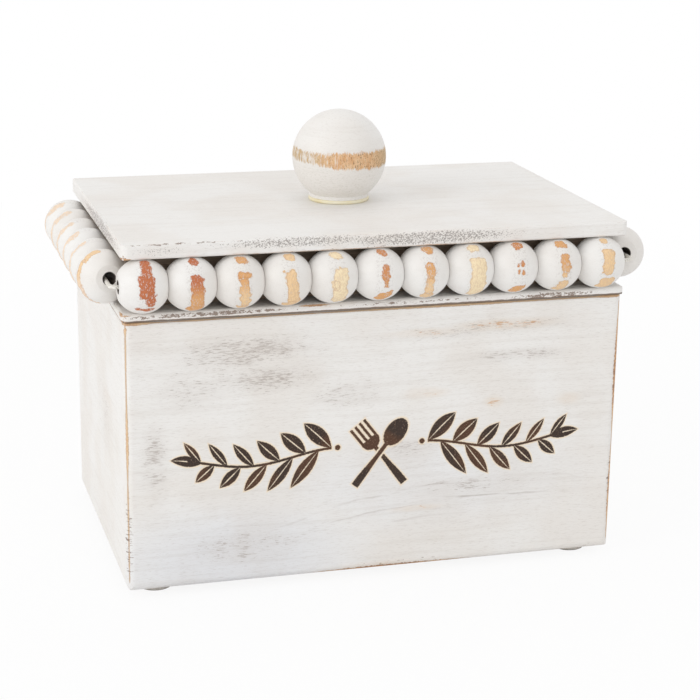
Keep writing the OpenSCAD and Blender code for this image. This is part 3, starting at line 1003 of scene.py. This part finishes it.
def finish_beads():
    draw = random.Random(7)
    tones = (STRAW, STRAW, HONEY, HONEY, AMBER, COPPER)
    rows = (
        ("front_bead", (0, -1, 0)),
        ("back_bead", (0, 1, 0)),
        ("left_bead", (-1, 0, 0)),
        ("right_bead", (1, 0, 0)),
    )
    for row, outward in rows:
        for number, bead in enumerate(numbered(row)):
            if row == "front_bead":
                upper, lower, speckled, patches = FRONT_BEADS[number]
            else:
                upper, lower = draw.choice(tones), draw.choice(tones[:3])
                speckled, patches = draw.uniform(0.1, 0.6), random_patches(draw)
            if row == "left_bead":
                upper, lower, speckled = PALE_WOOD, PALE_WOOD, 0.95
                crescent = (30, draw.uniform(64, 82), 0.6, draw.uniform(2.6, 3.6), 0)
                patches = [crescent, (-40, 36, 0.4, 2.4, 0.05)]
            if bead == "left_bead_1":
                upper, lower, speckled, patches = HONEY, PALE_WOOD, 0.3, LEFT_CORNER_PATCHES
            wear(bead, bead_finish(bead, outward, (upper, lower), speckled, patches))


KNOB_BAND_AXIS = Vector((0.02, -0.05, 0.998)).normalized()
KNOB_BAND_MIDDLE = 1.9
KNOB_BAND_HALF = 3.6
KNOB_THIN_TONE = rgb(206, 203, 192)
KNOB_WOOD_TONES = (rgb(230, 194, 154), rgb(216, 166, 118))
KNOB_SIDE_TONE = rgb(198, 176, 140)
KNOB_TICK_TONE = rgb(126, 92, 60)


def knob_finish():
    """A painted ball with a band rubbed bare round it, its grain upright."""
    material, w, shader, place = new_finish("painted_knob")
    there = w.vector("SUBTRACT", place, (0, 0, BALL_Z))
    height_on_ball = w.vector("DOT_PRODUCT", there, tuple(KNOB_BAND_AXIS))
    right = w.math("DIVIDE", w.split(there)[0], BALL_R)
    upright = w.scaled(place, (1.0, 1.0, 0.12))
    ragged = w.streaks(place, (1, 1, 0.5), 0.45, 4.0, 0.7)
    fibre = w.noise(upright, 1.9, 3.0, 0.65)
    from_middle = w.math("ABSOLUTE", w.minus(height_on_ball, KNOB_BAND_MIDDLE))
    reach = w.sway(ragged, 3.6, KNOB_BAND_HALF)
    narrower = w.math("MULTIPLY_ADD", w.step(right, -0.1, -0.8), -1.3, reach)
    edge = w.minus(narrower, from_middle)
    fibrous = w.sway(fibre, 3.0, edge)
    broken = w.step(w.noise(upright, 1.1, 3.0, 0.7), 0.48, 0.6, 0.0, 0.85)
    kept = w.minus(1.0, w.times(broken, w.step(right, 0.1, -0.7)))
    bare = w.times(w.step(fibrous, -0.3, 0.7), kept)
    along = w.scaled(place, (0.15, 0.15, 1.0))
    paint = w.group("paint", Place=place, Along=along, Tone=BALL_PAINT, Thin=0.7)
    wood = w.blend(w.step(ragged, 0.38, 0.62), *KNOB_WOOD_TONES)
    wood = w.blend(w.step(w.math("ABSOLUTE", right), 0.3, 0.95, 0.0, 0.75), wood, KNOB_SIDE_TONE)
    ticks = w.step(w.streaks(place, (1, 1, 0.4), 2.0, 4.0, 0.8), 0.54, 0.62)
    ticks = w.times(ticks, w.step(right, -0.6, 0.2, 0.5, 1.0))
    wood = w.blend(ticks, wood, KNOB_TICK_TONE)
    thin = w.step(w.streaks(place, (0.5, 0.5, 1.6), 1.5, 4.0, 0.75), 0.5, 0.68)
    thin_share = w.times(thin, w.step(height_on_ball, 1.0, -4.0, 0.0, 0.6))
    painted = w.blend(thin_share, paint["Colour"], KNOB_THIN_TONE)
    colour = w.blend(bare, painted, wood)
    height = w.math("MULTIPLY_ADD", bare, -1.0, paint["Height"])
    finish_with(w, shader, colour, w.fade(bare, 0.45, 0.7), height, BALL_BUMP)
    return material


# The core's tones are brown wood darkened as painted shade for the gaps between the beads.
CORE_TONES = (rgb(160, 140, 122), rgb(188, 168, 150))
CORE_STRAY_TONE = rgb(150, 140, 130)
RING_TONES = (rgb(242, 236, 212), rgb(236, 224, 184))
RING_WORN_TONE = rgb(200, 168, 120)
RUBBER_TONES = (rgb(226, 223, 218), rgb(208, 203, 197))
# The feet's darker tone near the floor is painted shade.
RUBBER_SHADE_TONE = rgb(120, 112, 104)
STEEL_TONES = (rgb(204, 204, 206), rgb(170, 168, 168))
CORD_TONE_AND_GROOVE_SHADE = (rgb(240, 237, 230), rgb(206, 196, 180))
BARE_DEPTH = 0.26
BARE_ROUGH = (0.62, 0.74)


def wood_finish(name, squeeze):
    """Plain wood, unpainted."""
    material, w, shader, place = new_finish(name)
    grain = w.group("grain", Place=place, Squeeze=squeeze)
    x, y, _ = w.split(place)
    lines = w.group("growth lines", Along=x, Across=y, Peak=20.0, Arch=0.002, Spacing=5.0)["Mask"]
    deeper = w.math("MULTIPLY_ADD", lines, 0.14, BARE_DEPTH)
    wood = w.group("bare wood", Fibre=grain["Fibre"], Rings=grain["Rings"], Depth=deeper)["Colour"]
    rough = w.step(grain["Fibre"], 0.3, 0.7, *BARE_ROUGH)
    finish_with(w, shader, wood, rough, grain["Fibre"], BOARD_BUMP)
    return material


def core_shade_finish():
    """The lid's core: brown wood darkened as painted shade for the gaps between the beads, with stray
    specks of grey paint.
    """
    material, w, shader, place = new_finish("core_brown_with_painted_shade")
    grain = w.group("grain", Place=place, Squeeze=ALONG_X)
    core_shaded_wood = w.blend(w.step(grain["Fibre"], 0.35, 0.7), *CORE_TONES)
    stray = w.step(w.noise(place, 0.5, 3.0, 0.7), 0.68, 0.8, 0.0, 0.5)
    colour = w.blend(stray, core_shaded_wood, CORE_STRAY_TONE)
    finish_with(w, shader, colour, 0.75, grain["Fibre"], BOARD_BUMP)
    return material


def ring_finish():
    """A thin turned ring, cream where the paint is thin."""
    material, w, shader, place = new_finish("cream_ring")
    grain = w.group("grain", Place=place, Squeeze=ALONG_X)
    cream = w.blend(w.step(w.noise(place, 0.12, 2.0), 0.35, 0.65), *RING_TONES)
    worn = w.step(grain["Fibre"], 0.6, 0.75, 0.0, 0.5)
    colour = w.blend(worn, cream, RING_WORN_TONE)
    finish_with(w, shader, colour, 0.5, grain["Fibre"], BOARD_BUMP)
    return material


def rubber_finish():
    material, w, shader, place = new_finish("pale_rubber")
    mottle = w.noise(place, 1.2, 3.0, 0.6)
    colour = w.blend(w.step(mottle, 0.3, 0.7), *RUBBER_TONES)
    # Painted shade: the foot darkens towards its lower edge, where it meets the floor.
    low = w.step(w.split(place)[2], 0.9, 0.2, 0.0, 0.55)
    colour = w.blend(low, colour, RUBBER_SHADE_TONE)
    finish_with(w, shader, colour, w.fade(mottle, 0.6, 0.75), mottle, BOARD_BUMP)
    return material


def steel_finish():
    """Plain drawn steel, a little dull."""
    material, w, shader, place = new_finish("plain_steel")
    fine = w.streaks(place, (1, 1, 0.2), 3.0)
    colour = w.blend(w.step(fine, 0.3, 0.7), *STEEL_TONES)
    shader.inputs["Metallic"].default_value = 1.0
    finish_with(w, shader, colour, w.fade(fine, 0.28, 0.5), fine, STEEL_BUMP)
    return material


def cord_finish():
    """Cotton cord with paint soaked into it."""
    material, w, shader, place = new_finish("painted_cord")
    x, y, z = w.split(place)
    lay = w.math("MULTIPLY_ADD", z, 2.2, w.times(w.math("ADD", x, y), 2.6))
    strand = w.math("SINE", w.times(lay, 2.0))
    # The darker tone in the low grooves between the strands is painted shade.
    colour = w.blend(w.step(strand, -0.9, 0.2, 0.6, 0.0), *CORD_TONE_AND_GROOVE_SHADE)
    finish_with(w, shader, colour, w.step(strand, -1.0, 1.0, 0.8, 0.65), strand, CORD_BUMP)
    return material


def wear(node, material):
    """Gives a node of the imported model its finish."""
    slots = NODES[node].data.materials
    slots.clear()
    slots.append(material)


def finish_boards():
    wear("front_panel", front_finish())
    wear("back_panel", back_finish())
    side = side_finish()
    wear("left_panel", side)
    wear("right_panel", side)
    wear("lower_board", lower_board_finish())
    wear("top_board", top_board_finish())
    bare_x = wood_finish("bare_wood_lengthwise", ALONG_X)
    bare_y = wood_finish("bare_wood_crosswise", ALONG_Y)
    for node in ("bottom_panel", "front_strip", "back_strip"):
        wear(node, bare_x)
    for node in ("left_strip", "right_strip"):
        wear(node, bare_y)
    wear("lid_core", core_shade_finish())


def finish_small_pieces():
    wear("knob", knob_finish())
    wear("knob_ring", ring_finish())
    wear("bead_cord", cord_finish())
    steel = steel_finish()
    for node in ("corner_brads", "bottom_brads", "lid_brads", "knob_screw"):
        wear(node, steel)
    rubber = rubber_finish()
    for node in NODES:
        if node.endswith("_foot"):
            wear(node, rubber)


# The studio

FLOOR_REACH = 4.0
FLOOR_WHITE = 0.9
FLOOR_TONE = rgb(244, 244, 244)
FLOOR_ROUGH = 0.9
WHITE_FROM, WHITE_TO = 0.2, 0.7


def add_floor():
    data = bpy.data.meshes.new("floor")
    r = FLOOR_REACH
    data.from_pydata([(-r, -r, 0), (r, -r, 0), (r, r, 0), (-r, r, 0)], [], [(0, 1, 2, 3)])
    floor = bpy.data.objects.new("floor", data)
    bpy.context.scene.collection.objects.link(floor)
    material = bpy.data.materials.new("floor")
    material.use_nodes = True
    w = Wiring(material.node_tree)
    shader = material.node_tree.nodes["Principled BSDF"]
    w.feed(shader.inputs["Base Color"], FLOOR_TONE)
    w.feed(shader.inputs["Roughness"], FLOOR_ROUGH)
    glow = w.node("ShaderNodeEmission", (1, 1, 1, 1), 1.0).outputs[0]
    away = w.vector("LENGTH", w.node("ShaderNodeTexCoord").outputs["Object"])
    white = w.step(away, WHITE_FROM, WHITE_TO, FLOOR_WHITE, 1.0)
    seen = w.times(w.node("ShaderNodeLightPath").outputs["Is Camera Ray"], white)
    mixed = w.node("ShaderNodeMixShader", seen, shader.outputs[0], glow).outputs[0]
    w.feed(material.node_tree.nodes["Material Output"].inputs["Surface"], mixed)
    data.materials.append(material)


def set_world():
    world = bpy.data.worlds.new("studio")
    bpy.context.scene.world = world
    world.use_nodes = True
    w = Wiring(world.node_tree)
    ground = world.node_tree.nodes["Background"]
    paths = w.node("ShaderNodeLightPath").outputs
    seen = w.strongest(paths["Is Camera Ray"], paths["Is Glossy Ray"], paths["Is Transmission Ray"])
    w.feed(ground.inputs["Color"], (1, 1, 1, 1))
    w.feed(ground.inputs["Strength"], w.fade(seen, SKY_LIGHT, 1.0))


add_camera()
add_lights()
add_floor()
set_world()
bpy.context.scene.view_settings.view_transform = "Standard"
make_effects()
finish_boards()
finish_small_pieces()
finish_beads()
